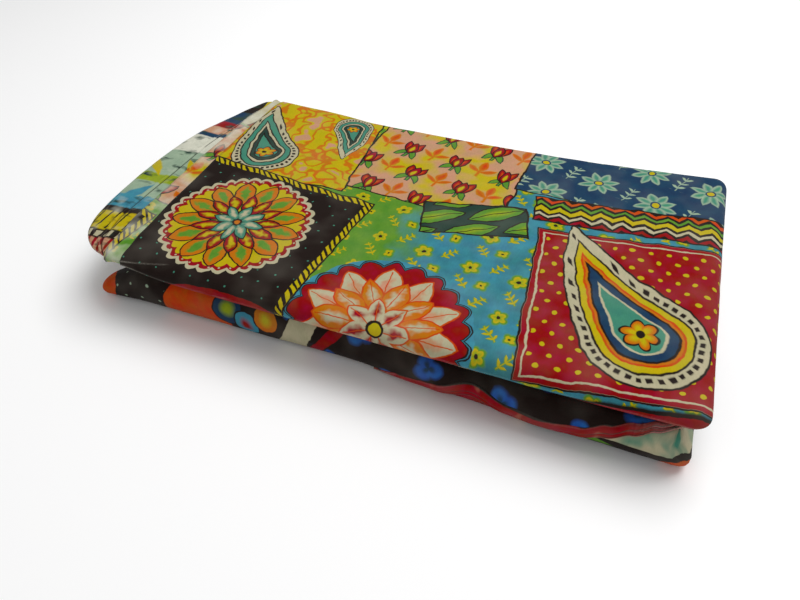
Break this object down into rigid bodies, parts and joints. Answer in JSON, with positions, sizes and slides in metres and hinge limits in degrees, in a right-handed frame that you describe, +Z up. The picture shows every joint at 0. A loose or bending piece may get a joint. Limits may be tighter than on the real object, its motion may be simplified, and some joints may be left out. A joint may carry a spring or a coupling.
{
  "type": "folded block print fabric",
  "caption": "Length of block-printed cotton cloth, folded into a flat, two-tier bundle with rounded folds and layered edges, lying flat on its underside.",
  "frame": {"origin": "under the middle of the bundle's overall length and depth, on the surface that it rests on", "axes": "+X along the bundle towards its thick rounded right end, +Y from the front fold to the back edge, +Z up"},
  "size_m": [0.393, 0.2189, 0.0467],
  "materials": {
    "printed_face": "block-printed plain-weave cotton, bright side, matt",
    "print_reverse": "wrong side of the same cotton, print paler, matt",
    "dark_print": "dark-ground part of the print, matt",
    "layer_edges": "folded edges of hidden layers of the same cotton, matt"
  },
  "bodies": {
    "root": {"top_stretch": "printed_face", "turned_strip": "print_reverse", "left_roll": "print_reverse", "middle_stretch": "dark_print", "under_stretch": "printed_face", "upper_layers": "layer_edges", "lower_layers": "layer_edges"}
  },
  "joints": []
}
